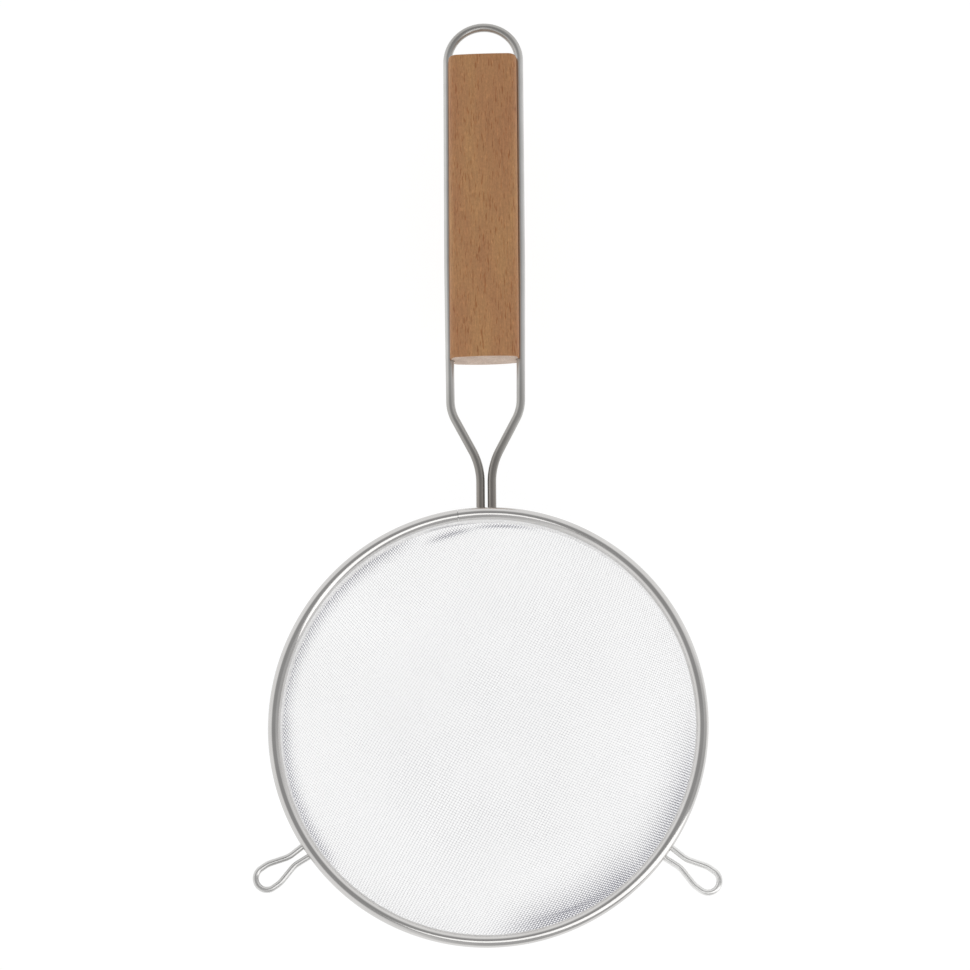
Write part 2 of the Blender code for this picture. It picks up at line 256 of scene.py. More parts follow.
def steel(name, colours, roughness, finish):
    """Stainless steel: roughness and a fine relief follow a noise drawn out along the UV map.

    The colour runs between the two given ones in soft clouds.
    """
    lines, depth, stretch = finish
    made = bpy.data.materials.new(name)
    made.use_nodes = True
    nodes, links = made.node_tree.nodes, made.node_tree.links
    shader = nodes["Principled BSDF"]
    shader.inputs["Metallic"].default_value = 1.0
    place = nodes.new("ShaderNodeTexCoord")
    drawn = nodes.new("ShaderNodeMapping")
    drawn.inputs["Scale"].default_value = stretch
    grain = nodes.new("ShaderNodeTexNoise")
    grain.inputs["Scale"].default_value = lines
    grain.inputs["Detail"].default_value = 4.0
    cloud = nodes.new("ShaderNodeTexNoise")
    cloud.inputs["Scale"].default_value = STEEL_CLOUDS
    cloud.inputs["Detail"].default_value = 3.0
    tone = two_tone(nodes, CLOUD_SHARES, colours)
    polish = remap(nodes, (0.0, 1.0), roughness)
    relief = nodes.new("ShaderNodeBump")
    relief.inputs["Strength"].default_value = STEEL_RELIEF
    relief.inputs["Distance"].default_value = depth
    links.new(place.outputs["UV"], drawn.inputs["Vector"])
    links.new(drawn.outputs[0], grain.inputs["Vector"])
    links.new(place.outputs["Object"], cloud.inputs["Vector"])
    links.new(cloud.outputs["Fac"], tone.inputs["Fac"])
    links.new(tone.outputs["Color"], shader.inputs["Base Color"])
    links.new(grain.outputs["Fac"], polish.inputs["Value"])
    links.new(polish.outputs[0], shader.inputs["Roughness"])
    links.new(grain.outputs["Fac"], relief.inputs["Height"])
    links.new(relief.outputs[0], shader.inputs["Normal"])
    return made


def shade_along(made, axis, start, end, stops):
    """Dims a steel's colour by one object coordinate, from start to end.

    The stops are pairs of the share of the way and the factor on the colour there.
    """
    nodes, links = made.node_tree.nodes, made.node_tree.links
    colour = nodes["Principled BSDF"].inputs["Base Color"]
    place = nodes.new("ShaderNodeTexCoord")
    apart = nodes.new("ShaderNodeSeparateXYZ")
    way = remap(nodes, (start, end), (0.0, 1.0))
    ramp = two_tone(nodes, *zip(*stops[:2]))
    for share, factor in stops[2:]:
        ramp.color_ramp.elements.new(share).color = (*factor, 1.0)
    dimmed = nodes.new("ShaderNodeMix")
    dimmed.data_type = "RGBA"
    dimmed.blend_type = "MULTIPLY"
    dimmed.inputs["Factor"].default_value = 1.0
    links.new(place.outputs["Object"], apart.inputs[0])
    links.new(apart.outputs[axis], way.inputs["Value"])
    links.new(way.outputs[0], ramp.inputs["Fac"])
    links.new(colour.links[0].from_socket, dimmed.inputs["A"])
    links.new(ramp.outputs["Color"], dimmed.inputs["B"])
    links.new(dimmed.outputs["Result"], colour)


section = strip_section()
sweep = 2 * math.pi - SEAM_GAP / RIM_RADIUS
bearing = (SEAM + np.linspace(0.0, sweep, RIM_STATIONS + 1))[:, None]
out, up = section[None, :, 0], np.tile(section[:, 1], (len(bearing), 1))
hoop_rings = np.stack([out * np.cos(bearing), out * np.sin(bearing), up], -1)
hoop = ring_piece("rolled_rim", hoop_rings, RIM_UV)
rim_steel = steel("rim_steel", RIM_COLOURS, RIM_ROUGHNESS, ROLLED)
# Painted light: the strip's colour is dimmed by height, lighter on the legs than on the bead's
# top.
shade_along(rim_steel, "Z", RIM_FOOT, RIM_FOOT + RIM_HEIGHT, RIM_PAINTED_LIGHT)
hoop.data.materials.append(rim_steel)
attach(hoop, "root")
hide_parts("rim_hoop")


# The bowl's cloth: plain-woven stainless wire, 0.18 mm thick and about 1.3 mm from wire to
# wire, pressed over a form with its border upright in the rim. The press has pushed wires
# aside and left three shallow folds near the border. Two sides near the border and the folds
# carry painted shade: the wires there are tinted a dark bluish grey and drawn wider.
CLOTH_WIRE = 0.00018
CLOTH_UNEVEN = 0.00004
UNEVEN_SEED = 11
WARP_COUNT = (37.71, 73.44, -2.76, 7.87, -1.33, -1.42, -7.94, 7.47, -1.64)
WEFT_COUNT = (-63.66, 37.80, -0.33, -0.53, 3.40, -1.44, 2.36, -0.08, -3.15)
COUNT_UNIT = 0.1
FOOT_RADIUS = 0.0263
SIDE_RADIUS = 0.0787
SIDE_CLIMB = math.radians(61.5)
BORDER_TURN = 0.0037
BORDER_UPRIGHT = 0.0012
SIDE_END = FOOT_RADIUS + SIDE_RADIUS * SIDE_CLIMB
BORDER_END = SIDE_END + BORDER_TURN * (math.pi / 2 - SIDE_CLIMB)
CLOTH_HEIGHT = 0.0003
MOST_WIRES = 112
NEWTON_STEPS = 12
FARTHEST = 1.5
SETTLED = 0.01
CLOTH_COLOURS = ((0.69, 0.69, 0.71), (0.78, 0.78, 0.79))
CLOTH_ROUGHNESS = (0.25, 0.42)
CLOTH_CLOUDS = 35.0
# Painted shade on the cloth: the dark bluish grey its colour is mixed towards, and how much
# wider a fully shaded wire is drawn
PAINTED_SHADE_COLOUR = (0.36, 0.36, 0.425, 1.0)
PAINTED_SHADE_WIDER = 1.93
# Each side with painted shade: the bearing of its middle, the angles from there at which the
# cloth is clear of shade and fully shaded, the inner and outer radius, the power, and the most
# shade
PAINTED_SHADE_SIDES = (
    (298, 34, 10, 0.066, 0.0910, 2.2, 0.94),
    (322, 50, 14, 0.070, 0.0915, 2.6, 0.72),
    (167, 60, 46, 0.0895, 0.0948, 1.7, 0.72),
    (197, 28, 18, 0.0885, 0.0940, 1.7, 0.72),
)
# Each fold: the bearing of its middle, its reach to each side, the line's run from the
# bowl's middle and how that leans, the fold's width; then its depth and its share of painted
# shade
FOLDS = (
    ((101, 10, 0.1050, -0.012, 0.0024), 0.0010, 0.80),
    ((86, 13, 0.1077, -0.006, 0.0014), 0.0005, 0.90),
    ((293, 15, 0.1010, 0.0086, 0.0040), 0.0010, 1.0),
)
FOLD_LIFT = 0.4


def bowl_place(x, y):
    """Where a point of the flat cloth lies in the pressed bowl, and the cloth's normal there.

    The distance from the middle, measured along the cloth, stays as it was: first flat, then
    round the side's arc, then round the border's turn, then straight up. A fold moves the
    cloth along its normal by a bell curve across a line, times the distance from that line
    with FOLD_LIFT added.
    """
    run = np.hypot(x, y)
    toward = np.stack([x, y], -1) / np.maximum(run, 1e-9)[..., None]
    on_side = np.clip(run - FOOT_RADIUS, 0.0, SIDE_END - FOOT_RADIUS) / SIDE_RADIUS
    on_turn = np.clip(run - SIDE_END, 0.0, BORDER_END - SIDE_END) / BORDER_TURN
    upright = np.maximum(run - BORDER_END, 0.0)
    slope = on_side + on_turn
    radius = np.minimum(run, FOOT_RADIUS) + SIDE_RADIUS * np.sin(on_side)
    radius += BORDER_TURN * (np.sin(slope) - np.sin(on_side))
    height = SIDE_RADIUS * (1.0 - np.cos(on_side))
    height += BORDER_TURN * (np.cos(on_side) - np.cos(slope))
    height += upright
    place = np.concatenate([toward * radius[..., None], height[..., None] + CLOTH_HEIGHT], -1)
    normal = np.concatenate([-toward * np.sin(slope)[..., None], np.cos(slope)[..., None]], -1)
    for where, depth, _ in FOLDS:
        strength, off = near_fold(x, y, where)
        place = place + normal * (depth * strength * (off + FOLD_LIFT))[..., None]
    return place, normal


def angle_from(x, y, middle):
    """The signed angle from a bearing in degrees to a point's own bearing, in radians."""
    return np.angle(np.exp(1j * (np.arctan2(y, x) - math.radians(middle))))


def near_fold(x, y, where):
    """How strongly a fold acts at a point of the flat cloth, and how many widths off it that is.

    The strength is a bell curve across the line, faded to nothing at the reach on both sides.
    """
    middle, reach, line, lean, width = where
    aside = angle_from(x, y, middle)
    fade = np.clip(1.0 - (aside / math.radians(reach)) ** 2, 0.0, 1.0) ** 2
    off = (np.hypot(x, y) - line - lean * aside) / width
    return fade * np.exp(-off * off), off


def painted_shade_share(x, y, place):
    """How much painted shade the cloth carries, 0 to 1: the most of its shaded sides and its
    folds.

    On a side it grows as a power of the way from the inner to the outer radius, times a
    smooth step of the bearing's angle from the side's middle.
    """
    radius = np.hypot(place[..., 0], place[..., 1])
    share = np.zeros_like(radius)
    for middle, clean, full, inner, outer, power, most in PAINTED_SHADE_SIDES:
        aside = np.abs(angle_from(x, y, middle))
        clean, full = math.radians(clean), math.radians(full)
        step = np.clip((clean - aside) / (clean - full), 0.0, 1.0)
        out = np.clip((radius - inner) / (outer - inner), 0.0, 1.0) ** power
        share = np.maximum(share, most * out * step * step * (3.0 - 2.0 * step))
    for where, _, fold_shade in FOLDS:
        share = np.maximum(share, fold_shade * near_fold(x, y, where)[0])
    return share


def wires_passed(x, y, shares):
    """How many wires lie between the cloth's middle and a point, and how fast that grows.

    The count is a cubic in the point's place, with x and y in the count's unit: the shares
    of x, y, xx, xy, yy, xxx, xxy, xyy and yyy. The growth is its slope along x and along y.
    """
    flat = np.zeros_like(x)
    terms = (x, y, x * x, x * y, y * y, x**3, x * x * y, x * y * y, y**3)
    along_x = (flat + 1, flat, 2 * x, y, flat, 3 * x * x, 2 * x * y, y * y, flat)
    along_y = (flat, flat + 1, flat, x, 2 * y, flat, x * x, 2 * x * y, 3 * y * y)
    return [np.tensordot(shares, np.stack(part), 1) for part in (terms, along_x, along_y)]


def cloth_crossings(warp_number, weft_number):
    """Where both counts reach the given whole numbers, and whether that place was found.

    Newton's steps start from the middle's even spacing.
    """
    even = np.linalg.inv(np.array([WARP_COUNT[:2], WEFT_COUNT[:2]]))
    x, y = np.moveaxis(np.stack([warp_number, weft_number], -1) @ even.T, -1, 0)
    for _ in range(NEWTON_STEPS):
        warp, warp_x, warp_y = wires_passed(x, y, WARP_COUNT)
        weft, weft_x, weft_y = wires_passed(x, y, WEFT_COUNT)
        warp_off, weft_off = warp_number - warp, weft_number - weft
        spread = warp_x * weft_y - warp_y * weft_x
        x = np.clip(x + (warp_off * weft_y - weft_off * warp_y) / spread, -FARTHEST, FARTHEST)
        y = np.clip(y + (weft_off * warp_x - warp_off * weft_x) / spread, -FARTHEST, FARTHEST)
    return x * COUNT_UNIT, y * COUNT_UNIT, np.hypot(warp_off, weft_off) < SETTLED


def woven_wires(name, place, normal, kept, lift, painted_shade):
    """Square-section wires through the crossings of a weave, one wire per row of the arrays.

    A wire's middle is the crossing moved along the cloth's normal by lift, whose sign swaps
    from one crossing to the next. Its four corners stand at right angles to its run. Only
    crossings marked kept are used, and each row's first and last kept crossing is capped.
    Painted shade also draws a wire wider, by its share at the crossing times the shade's
    widening constant, and a point attribute carries that share to the four corners.
    """
    middle = place + normal * lift[..., None]
    run = np.gradient(middle, axis=1)
    run /= np.linalg.norm(run, axis=-1, keepdims=True)
    beside = np.cross(normal, run)
    beside /= np.linalg.norm(beside, axis=-1, keepdims=True)
    above = np.cross(run, beside)
    above = above * CLOTH_WIRE / 2
    # Under painted shade a wire is drawn wider, so that it covers more.
    beside = beside * (CLOTH_WIRE / 2 * (1.0 + PAINTED_SHADE_WIDER * painted_shade))[..., None]
    corners = np.stack([middle + beside, middle + above, middle - beside, middle - above], 2)
    number = np.cumsum(kept.ravel()).reshape(kept.shape) - 1
    joined = kept[:, :-1] & kept[:, 1:]
    near = number[:, :-1][joined][:, None] * 4
    far = number[:, 1:][joined][:, None] * 4
    corner = np.arange(4)
    after = (corner + 1) % 4
    sides = np.stack([near + corner, near + after, far + after, far + corner], -1)
    padded = np.pad(kept, ((0, 0), (1, 1)))
    starts = number[kept & ~padded[:, :-2]]
    ends = number[kept & ~padded[:, 2:]]
    caps = np.concatenate([starts[:, None] * 4 + corner[::-1], ends[:, None] * 4 + corner])
    faces = np.concatenate([sides.reshape(-1, 4), caps]).tolist()
    mesh = bpy.data.meshes.new(name)
    mesh.from_pydata(corners[kept].reshape(-1, 3).tolist(), [], faces)
    layer = mesh.attributes.new("painted_shade", "FLOAT", "POINT")
    layer.data.foreach_set("value", np.repeat(painted_shade[kept], 4).astype(np.float32))
    mesh.shade_smooth()
    return put_in_scene(name, mesh)


numbers = np.arange(-MOST_WIRES, MOST_WIRES + 1)
warp_number, weft_number = np.meshgrid(numbers, numbers, indexing="ij")
flat_x, flat_y, settled = cloth_crossings(warp_number, weft_number)
within = settled & (np.hypot(flat_x, flat_y) < BORDER_END + BORDER_UPRIGHT)
uneven = np.random.default_rng(UNEVEN_SEED).normal(0.0, CLOTH_UNEVEN, (2, *flat_x.shape))
crossing, upward = bowl_place(flat_x + uneven[0], flat_y + uneven[1])
over = np.where((warp_number + weft_number) % 2 == 0, 1.0, -1.0) * CLOTH_WIRE / 2
# Each crossing's share of painted shade, on two sides near the border and along the folds.
painted_shade = painted_shade_share(flat_x, flat_y, crossing)
warp = woven_wires("cloth_warp", crossing, upward, within, over, painted_shade)
crossing, upward = crossing.transpose(1, 0, 2), upward.transpose(1, 0, 2)
weft = woven_wires("cloth_weft", crossing, upward, within.T, -over.T, painted_shade.T)

cloth_steel = bpy.data.materials.new("cloth_steel")
cloth_steel.use_nodes = True
nodes, links = cloth_steel.node_tree.nodes, cloth_steel.node_tree.links
shader = nodes["Principled BSDF"]
shader.inputs["Metallic"].default_value = 1.0
place = nodes.new("ShaderNodeTexCoord")
cloud = nodes.new("ShaderNodeTexNoise")
cloud.inputs["Scale"].default_value = CLOTH_CLOUDS
cloud.inputs["Detail"].default_value = 5.0
tone = two_tone(nodes, CLOUD_SHARES, CLOTH_COLOURS)
# Painted shade: the cloth's colour is mixed towards a dark bluish grey by the share in the point
# attribute.
painted_shade_here = nodes.new("ShaderNodeAttribute")
painted_shade_here.attribute_name = "painted_shade"
shade_mix = nodes.new("ShaderNodeMix")
shade_mix.data_type = "RGBA"
shade_mix.inputs["B"].default_value = PAINTED_SHADE_COLOUR
polish = remap(nodes, (0.0, 1.0), CLOTH_ROUGHNESS)
links.new(place.outputs["Object"], cloud.inputs["Vector"])
links.new(cloud.outputs["Fac"], tone.inputs["Fac"])
links.new(painted_shade_here.outputs["Fac"], shade_mix.inputs["Factor"])
links.new(tone.outputs["Color"], shade_mix.inputs["A"])
links.new(shade_mix.outputs["Result"], shader.inputs["Base Color"])
links.new(cloud.outputs["Fac"], polish.inputs["Value"])
links.new(polish.outputs[0], shader.inputs["Roughness"])
for layer in (warp, weft):
    layer.data.materials.append(cloth_steel)
    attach(layer, "root")
    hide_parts("mesh_bowl")


# The handle: one round drawn steel wire, 4 mm thick, bent in a plane. Its middle is the
# hanging loop, its straight sides hold the grip, and its ends run together under the bead,
# where they are welded to the rim.
WIRE_RADIUS = 0.0020
WIRE_HEIGHT = 0.0475
WELD_RADIUS = 0.0972
NECK_HALF = 0.00262
NECK_REACH = 0.1207
SHOULDER_HALF = 0.01635
SHOULDER_REACH = 0.14674
HAIRPIN_HALF = 0.01705
HAIRPIN_REACH = 0.21574
LOOP_CENTRE = 0.31709
NECK_BEND = 0.032
SHOULDER_BEND = 0.020
BEND_POINTS = 17
LOOP_POINTS = 49
HANDLE_STEP = 0.0015
CLOSEST = 0.2
HANDLE_SIDES = 32
HANDLE_COLOURS = ((0.55, 0.545, 0.53), (0.62, 0.615, 0.60))
HANDLE_ROUGHNESS = (0.26, 0.38)
DRAWN = (1600.0, 0.00003, (0.03, 1.0, 1.0))
# The handle's colour factors along Y: darker and a little browner towards the welded ends as far
# as the grip's foot, and darker over the top of the loop
HANDLE_DARKENING = (
    (0.0, (0.50, 0.46, 0.43)),
    (0.11, (0.52, 0.50, 0.48)),
    (0.20, (0.76, 0.75, 0.74)),
    (0.32, (1.0, 1.0, 1.0)),
    (0.91, (1.0, 1.0, 1.0)),
    (0.97, (0.72, 0.71, 0.70)),
)


def rounded_route(corners, bends):
    """A wire's middle in its plane: straight runs, each corner an arc of its own radius.

    An arc starts short of its corner by the bend's radius times the tangent of half the
    turn. Each of its points lies radius times sine along the first run and radius times one
    minus cosine to the side.
    """
    corners = np.array(corners)
    route = [corners[:1]]
    for before, corner, after, bend in zip(corners, corners[1:], corners[2:], bends):
        come = (corner - before) / np.linalg.norm(corner - before)
        go = (after - corner) / np.linalg.norm(after - corner)
        turn = math.acos(np.clip(come @ go, -1.0, 1.0))
        aside = go - come * (come @ go)
        aside /= np.linalg.norm(aside)
        swung = np.linspace(0.0, turn, BEND_POINTS)[:, None]
        start = corner - come * bend * math.tan(turn / 2)
        route.append(start + come * bend * np.sin(swung) + aside * bend * (1.0 - np.cos(swung)))
    route.append(corners[-1:])
    return np.concatenate(route)


def even_steps(route, step):
    """The same route with a point about every step, by linear interpolation on its length.

    A point nearer to the one before it than the share CLOSEST of the step is left out.
    """
    length = np.concatenate([[0.0], np.cumsum(np.linalg.norm(np.diff(route, axis=0), axis=1))])
    extra = np.arange(0.0, length[-1], step)
    at = np.unique(np.concatenate([length, extra]).round(7))
    kept = at[np.concatenate([[True], np.diff(at) > step * CLOSEST])]
    x, y = route.T
    return np.stack([np.interp(kept, length, x), np.interp(kept, length, y)], -1)


def wire_piece(name, route, radius, height, sides, turn=0.0):
    """A round wire: at each point of a flat route, a circle at right angles to the run.

    The run is the mean of the two neighbouring stretches, its side is the run turned by a
    right angle, and a circle point is the route plus radius times (cos along side, sin up).
    The whole wire is turned about the bowl's upright middle line.
    """
    stretch = np.diff(route, axis=0)
    stretch /= np.linalg.norm(stretch, axis=1, keepdims=True)
    run = np.concatenate([stretch[:1], stretch[:-1] + stretch[1:], stretch[-1:]])
    run /= np.linalg.norm(run, axis=1, keepdims=True)
    aside = np.stack([run[:, 1], -run[:, 0]], -1)
    angle = np.arange(sides) * 2 * math.pi / sides
    flat = route[:, None, :] + radius * np.cos(angle)[None, :, None] * aside[:, None, :]
    up = np.broadcast_to(height + radius * np.sin(angle), flat.shape[:2])
    spin = np.array([[math.cos(turn), math.sin(turn)], [-math.sin(turn), math.cos(turn)]])
    rings = np.concatenate([flat @ spin, up[..., None]], -1)
    length = np.linalg.norm(np.diff(route, axis=0), axis=1).sum()
    return ring_piece(name, rings, (length, 2 * math.pi * radius))


left_corners = (
    (-NECK_HALF, WELD_RADIUS),
    (-NECK_HALF, NECK_REACH),
    (-SHOULDER_HALF, SHOULDER_REACH),
    (-HAIRPIN_HALF, HAIRPIN_REACH),
    (-HAIRPIN_HALF, LOOP_CENTRE),
)
left_side = rounded_route(left_corners, (NECK_BEND, SHOULDER_BEND, SHOULDER_BEND))
loop = circle_part((0.0, LOOP_CENTRE), HAIRPIN_HALF, math.pi, 0.0, LOOP_POINTS)
right_side = left_side[::-1] * (-1.0, 1.0)
hairpin = even_steps(np.concatenate([left_side[:-1], loop, right_side[1:]]), HANDLE_STEP)
handle = wire_piece("bent_handle", hairpin, WIRE_RADIUS, WIRE_HEIGHT, HANDLE_SIDES)
drawn_steel = steel("drawn_steel", HANDLE_COLOURS, HANDLE_ROUGHNESS, DRAWN)
handle_end = LOOP_CENTRE + HAIRPIN_HALF + WIRE_RADIUS
shade_along(drawn_steel, "Y", WELD_RADIUS, handle_end, HANDLE_DARKENING)
handle.data.materials.append(drawn_steel)
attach(handle, "root")
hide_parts("handle_wire")


# The grip: a flat bar of steamed beech, crowned on both faces and rounded at its edges
# and corners, with a groove along each edge for the handle's wire. The wood is sanded and
# oiled, so its short dark rays show along the grain and its ends stay paler.
GRIP_FOOT = 0.17074
GRIP_HEAD = 0.3181
GRIP_HALF_WIDTH = 0.0161
GRIP_HALF_HEIGHT = 0.0091
GRIP_CROWN = 0.0023
GRIP_TOP_CROWN = (0.0016, 0.0007)
GRIP_LEVELLED = 0.045
GRIP_EDGE = 0.0035
GRIP_CORNER_IN = 0.0006
GRIP_CORNER_BACK = 0.0010
HEAD_CUT = 0.0018
HEAD_CUT_TURN = math.radians(60)
GRIP_ARRIS = 0.0006
GROOVE_RADIUS = WIRE_RADIUS + 0.0003
CORNER_POINTS = 15
HEAD_POINTS = 6
LENGTH_POINTS = 60
GROOVE_POINTS = 9
FILLET_POINTS = 11
CROWN_POINTS = 13
GRIP_UV_ROUND = 0.09
BEECH_COLOURS = ((0.412, 0.190, 0.079), (0.455, 0.233, 0.092))
END_COLOURS = ((0.50, 0.37, 0.29), (0.61, 0.475, 0.385))
BAND_SHARES = (0.35, 0.65)
RAY_FACTOR = (0.76, 0.60, 0.46, 1.0)
BEECH_ROUGHNESS = (0.50, 0.66)
BEECH_RELIEF = 0.25
FIBRE_DEPTH = 0.0001
GRAIN_RUN = 0.09


def grip_rings():
    """The grip's sections along its length, as rings of points.

    Over one quarter a section runs up the groove's arc, up the flat edge, round the edge's
    fillet and along the crown's wide arc; the rest mirrors it. Towards the foot the width
    draws in on a quarter of an ellipse, towards the head on an arc that starts along the
    side and is cut off by the end. The faces draw in on a quarter of a circle.
    """
    swing = np.linspace(0.0, math.pi / 2, CORNER_POINTS)
    foot_back = GRIP_CORNER_BACK * (1.0 - np.sin(swing))
    foot_in = GRIP_CORNER_IN * (1.0 - np.cos(swing))
    cut_length = HEAD_CUT * math.sin(HEAD_CUT_TURN)
    before_arris = np.linspace(cut_length, GRIP_ARRIS, HEAD_POINTS)[:-1]
    head_back = np.concatenate([before_arris, GRIP_ARRIS * (1.0 - np.sin(swing))])
    head_in = HEAD_CUT * (1.0 - np.cos(np.arcsin((cut_length - head_back) / HEAD_CUT)))
    straight_ends = GRIP_FOOT + GRIP_CORNER_BACK, GRIP_HEAD - cut_length
    straight = np.linspace(*straight_ends, LENGTH_POINTS)[1:-1]
    still = np.zeros(len(straight))
    reach = np.concatenate([(GRIP_FOOT + foot_back)[::-1], straight, GRIP_HEAD - head_back])
    half_width = GRIP_HALF_WIDTH - np.concatenate([foot_in[::-1], still, head_in])
    from_end = np.minimum(reach - GRIP_FOOT, GRIP_HEAD - reach)
    end_near = np.clip(1.0 - from_end / GRIP_ARRIS, 0.0, 1.0)
    half_height = GRIP_HALF_HEIGHT - GRIP_ARRIS * (1.0 - np.sqrt(1.0 - end_near * end_near))
    wide, tall = half_width[:, None], half_height[:, None]
    leg = np.interp(reach, (SHOULDER_REACH, HAIRPIN_REACH), (SHOULDER_HALF, HAIRPIN_HALF))
    leg = leg[:, None]
    short = np.clip(leg - wide, -GROOVE_RADIUS, GROOVE_RADIUS)
    lip = np.where(leg - wide < GROOVE_RADIUS, np.arccos(short / GROOVE_RADIUS), 0.0)
    part = np.linspace(0.0, 1.0, GROOVE_POINTS)[None, :] * lip
    groove_x = np.minimum(leg - GROOVE_RADIUS * np.cos(part), wide)
    groove_z = GROOVE_RADIUS * np.sin(part)

    def quarter(crown):
        """One quarter of every section, from the groove to the middle of the face."""
        crown_radius = (wide * wide + crown * crown) / (2 * crown)
        fillet = np.minimum(GRIP_EDGE, tall - crown)
        across = wide - fillet
        crown_base = tall - crown_radius
        fillet_base = crown_base + np.sqrt((crown_radius - fillet) ** 2 - across * across)
        tangent = np.arctan2(fillet_base - crown_base, across)
        turn = np.linspace(0.0, 1.0, FILLET_POINTS)[None, :] * tangent
        fillet_x, fillet_z = across + fillet * np.cos(turn), fillet_base + fillet * np.sin(turn)
        turn = tangent + np.linspace(0.0, 1.0, CROWN_POINTS)[None, 1:] * (math.pi / 2 - tangent)
        crown_x, crown_z = crown_radius * np.cos(turn), crown_base + crown_radius * np.sin(turn)
        x = np.concatenate([groove_x, fillet_x, crown_x], 1)
        z = np.concatenate([groove_z, fillet_z, crown_z], 1)
        return x, z

    top_crown = np.interp(reach, (GRIP_HEAD - GRIP_LEVELLED, GRIP_HEAD), GRIP_TOP_CROWN)
    top_x, top_z = quarter(top_crown[:, None])
    low_x, low_z = quarter(GRIP_CROWN)
    x = np.concatenate([top_x, -top_x[:, -2::-1], -low_x[:, 1:], low_x[:, -2:0:-1]], 1)
    z = np.concatenate([top_z, top_z[:, -2::-1], -low_z[:, 1:], -low_z[:, -2:0:-1]], 1)
    y = np.broadcast_to(reach[:, None], x.shape)
    return np.stack([x, y, z + WIRE_HEIGHT], -1)[:, ::-1]


def beech(name, end_grain):
    """Beech: a warm brown in slow bands, with fibres and short dark rays drawn out along Y.

    The bands' colour is multiplied by the fibres', the mottle's and the shine's tones, and
    where a ray lies by RAY_FACTOR. On end grain they aren't drawn out.
    """
    made = bpy.data.materials.new(name)
    made.use_nodes = True
    nodes, links = made.node_tree.nodes, made.node_tree.links
    shader = nodes["Principled BSDF"]
    place = nodes.new("ShaderNodeTexCoord")
    run = 1.0 if end_grain else GRAIN_RUN

    def noise(scale, along, detail, roughness=0.5):
        """A noise on the object's own coordinates, whose scale along Y is scale times along."""
        drawn = nodes.new("ShaderNodeMapping")
        drawn.inputs["Scale"].default_value = (1.0, along, 1.0)
        made_noise = nodes.new("ShaderNodeTexNoise")
        made_noise.inputs["Scale"].default_value = scale
        made_noise.inputs["Detail"].default_value = detail
        made_noise.inputs["Roughness"].default_value = roughness
        links.new(place.outputs["Object"], drawn.inputs["Vector"])
        links.new(drawn.outputs[0], made_noise.inputs["Vector"])
        return made_noise

    def toned(source, reads, gives):
        """A noise's values between the two in reads, brought to between the two in gives."""
        tone = remap(nodes, reads, gives)
        links.new(source.outputs["Fac"], tone.inputs["Value"])
        return tone

    bands = noise(scale=110.0, along=run * 2.0, detail=3.0)
    fibres = noise(scale=1900.0, along=run * 0.8, detail=3.0, roughness=0.7)
    mottle = noise(scale=1400.0, along=0.5, detail=2.0, roughness=0.6)
    rays = noise(scale=1900.0, along=run * 1.1, detail=1.0)
    shine = noise(scale=1200.0, along=run * 2.2, detail=1.0)
    fibre_tone = toned(fibres, reads=(0.3, 0.7), gives=(0.88, 1.12))
    mottle_tone = toned(mottle, reads=(0.3, 0.7), gives=(0.90, 1.10))
    shine_tone = toned(shine, reads=(0.62, 0.72), gives=(1.0, 1.16))
    ray_share = toned(rays, reads=(0.60, 0.69), gives=(0.0, 1.0))
    polish = toned(fibres, reads=(0.0, 1.0), gives=BEECH_ROUGHNESS)
    grain = fibre_tone
    for part in (mottle_tone, shine_tone):
        both = nodes.new("ShaderNodeMath")
        both.operation = "MULTIPLY"
        links.new(grain.outputs[0], both.inputs[0])
        links.new(part.outputs[0], both.inputs[1])
        grain = both
    ground = two_tone(nodes, BAND_SHARES, END_COLOURS if end_grain else BEECH_COLOURS)
    flecked = nodes.new("ShaderNodeMix")
    flecked.data_type = "RGBA"
    flecked.blend_type = "MULTIPLY"
    flecked.inputs["B"].default_value = RAY_FACTOR
    coloured = nodes.new("ShaderNodeVectorMath")
    coloured.operation = "SCALE"
    relief = nodes.new("ShaderNodeBump")
    relief.inputs["Strength"].default_value = BEECH_RELIEF
    relief.inputs["Distance"].default_value = FIBRE_DEPTH
    links.new(bands.outputs["Fac"], ground.inputs["Fac"])
    links.new(ground.outputs["Color"], coloured.inputs[0])
    links.new(grain.outputs[0], coloured.inputs["Scale"])
    links.new(ray_share.outputs[0], flecked.inputs["Factor"])
    links.new(coloured.outputs[0], flecked.inputs["A"])
    links.new(flecked.outputs["Result"], shader.inputs["Base Color"])
    links.new(fibres.outputs["Fac"], relief.inputs["Height"])
    links.new(relief.outputs[0], shader.inputs["Normal"])
    links.new(polish.outputs[0], shader.inputs["Roughness"])
    return made


grip = ring_piece("beech_grip", grip_rings(), (GRIP_HEAD - GRIP_FOOT, GRIP_UV_ROUND))
grip.data.materials.append(beech("beech_along", False))
grip.data.materials.append(beech("beech_end", True))
face_slots = np.zeros(len(grip.data.polygons), dtype=np.int32)
face_slots[-2:] = 1
grip.data.polygons.foreach_set("material_index", face_slots)
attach(grip, "root")
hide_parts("grip")


# The rests: two ears of 2.8 mm drawn steel wire, each bent to a teardrop with both ends
# welded under the bead. They rest on the far side of a bowl or a pan. The right one has
# lighter colours than the left: painted light, for the bright reflection it shows.
EAR_WIRE_RADIUS = 0.0014
EAR_HEIGHT = 0.0481
EAR_ROUND = 0.00515
EAR_ROUND_CENTRE = 0.12125
EAR_SHOULDER = 0.11745
EAR_NECK_HALF = 0.0023
EAR_NECK_REACH = 0.1078
EAR_ROOT_HALF = 0.0029
EAR_BEND = 0.012
EAR_STEP = 0.0008
EAR_SIDES = 24
ROUND_POINTS = 41
EAR_ROUGHNESS = (0.22, 0.34)
EARS = (
    ("left", math.radians(124), ((0.59, 0.585, 0.575), (0.67, 0.665, 0.655))),
    # Painted light: the right ear's colours are lighter than the left's.
    ("right", math.radians(-126), ((0.73, 0.725, 0.715), (0.81, 0.805, 0.795))),
)

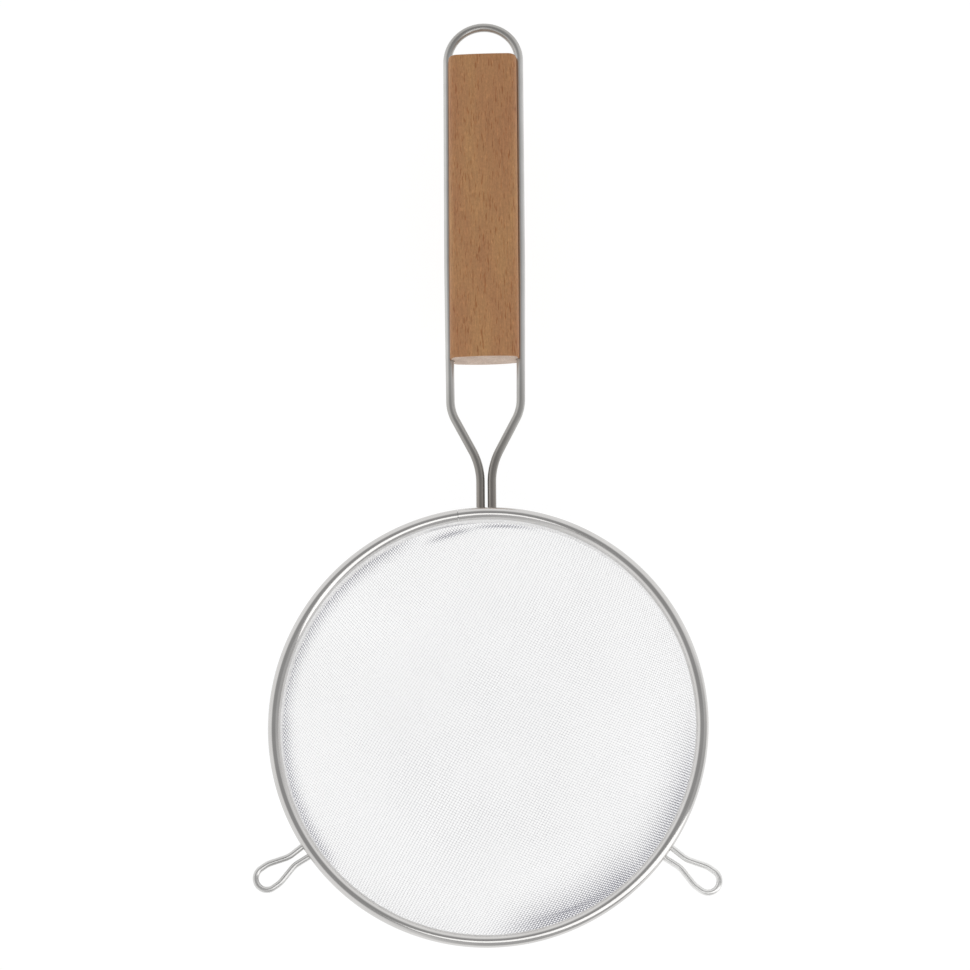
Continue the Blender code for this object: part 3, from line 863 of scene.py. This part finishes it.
round_end = circle_part((0.0, EAR_ROUND_CENTRE), EAR_ROUND, math.pi, 0.0, ROUND_POINTS)
ear_corners = (
    (-EAR_ROOT_HALF, WELD_RADIUS),
    (-EAR_NECK_HALF, EAR_NECK_REACH),
    (-EAR_ROUND, EAR_SHOULDER),
    (-EAR_ROUND, EAR_ROUND_CENTRE),
)
ear_side = rounded_route(ear_corners, (EAR_BEND, EAR_BEND))[:-1]
teardrop = np.concatenate([ear_side, round_end, (ear_side * (-1.0, 1.0))[::-1]])
teardrop = even_steps(teardrop, EAR_STEP)
for side, turn, colours in EARS:
    ear_name = "wire_ear_" + side
    ear = wire_piece(ear_name, teardrop, EAR_WIRE_RADIUS, EAR_HEIGHT, EAR_SIDES, turn)
    bright_wire = steel("bright_wire_" + side, colours, EAR_ROUGHNESS, DRAWN)
    ear.data.materials.append(bright_wire)
    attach(ear, "root")
    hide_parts("ear_" + side)


# The welds: where each wire's end meets the rim's outer leg, a small bead of fused steel
# runs round it, dulled and browned by the heat.
WELD_OUT = 0.0974
WELD_DEPTH = 0.0010
HANDLE_WELD = (0.0027, 0.0023)
EAR_WELD = (0.0019, 0.0017)
WELD_POLE = 0.12
WELD_RINGS, WELD_POINTS = 9, 20
WELD_UV = (0.003, 0.012)
WELD_COLOURS = ((0.36, 0.33, 0.30), (0.50, 0.47, 0.44))
WELD_ROUGHNESS = (0.32, 0.48)
FUSED = (1200.0, 0.00008, (1.0, 1.0, 1.0))


def weld_rings(bearing, aside, height, width, rise):
    """A weld as rings round the wire's run: an ellipsoid of depth, width and rise.

    A ring at polar angle p stands at minus depth times cos p along the run outwards, and its
    points lie width sin p cos a to the side and rise sin p sin a up.
    """
    polar = np.linspace(WELD_POLE, math.pi - WELD_POLE, WELD_RINGS)[:, None]
    around = np.arange(WELD_POINTS)[None, :] * 2 * math.pi / WELD_POINTS
    out = WELD_OUT - WELD_DEPTH * np.cos(polar) * np.ones_like(around)
    side = aside + width * np.sin(polar) * np.cos(around)
    up = height + rise * np.sin(polar) * np.sin(around)
    x = out * math.cos(bearing) + side * math.sin(bearing)
    y = out * math.sin(bearing) - side * math.cos(bearing)
    return np.stack([x, y, up], -1)


weld_steel = steel("weld_steel", WELD_COLOURS, WELD_ROUGHNESS, FUSED)
toward_handle = math.pi / 2
welds = [("handle", toward_handle, NECK_HALF, WIRE_HEIGHT, HANDLE_WELD)]
for side, turn, _ in EARS:
    welds.append(("ear_" + side, toward_handle + turn, EAR_ROOT_HALF, EAR_HEIGHT, EAR_WELD))
for wire, bearing, half_gap, height, (width, rise) in welds:
    for number, aside in enumerate((-half_gap, half_gap), 1):
        rings = weld_rings(bearing, aside, height, width, rise)
        weld = ring_piece("weld_%s_%d" % (wire, number), rings, WELD_UV)
        weld.data.materials.append(weld_steel)
        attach(weld, "root")
